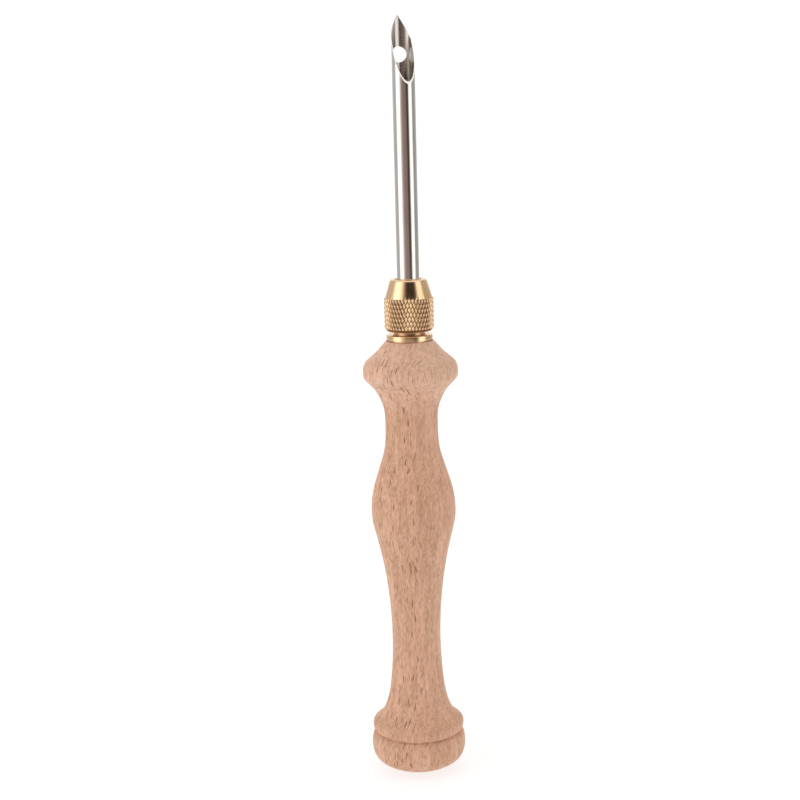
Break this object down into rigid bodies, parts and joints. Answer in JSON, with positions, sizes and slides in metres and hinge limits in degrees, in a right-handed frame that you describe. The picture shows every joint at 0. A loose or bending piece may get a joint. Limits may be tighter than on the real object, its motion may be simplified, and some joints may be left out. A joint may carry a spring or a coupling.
{
  "type": "punch needle",
  "caption": "Adjustable punch needle: bevelled steel tube with an eye, held by a knurled brass collet chuck on a turned beech handle bored for yarn.",
  "frame": {"origin": "centre of the pommel's flat base", "axes": "+Z along the tool's axis to the needle's tip; the bevel opens towards -Y and the eye towards +Y"},
  "size_m": [0.022, 0.022, 0.175],
  "materials": {
    "beech": "satin",
    "brass": "polished",
    "collet_brass": "satin",
    "steel": "polished"
  },
  "bodies": {
    "grip": {"handle": "beech", "chuck_body": "brass"},
    "collet": {"collet": "collet_brass"},
    "nut": {"chuck_nut": "brass"},
    "needle": {"needle": "steel"}
  },
  "joints": [
    {"name": "nut_lift", "type": "slide", "parent": "grip", "child": "collet", "axis": [0, 0, 1], "range_m": [0, 0.0045]},
    {"name": "nut_turn", "type": "hinge", "parent": "collet", "child": "nut", "pos_m": [0, 0, 0.111], "axis": [0, 0, 1], "range_deg": [0, 2160]},
    {"name": "needle_depth", "type": "slide", "parent": "collet", "child": "needle", "axis": [0, 0, 1], "range_m": [-0.04, 0.012]}
  ],
  "couplings": [
    {"joint": "nut_turn", "follows": "nut_lift", "rad_per_m": 8377.6}
  ]
}
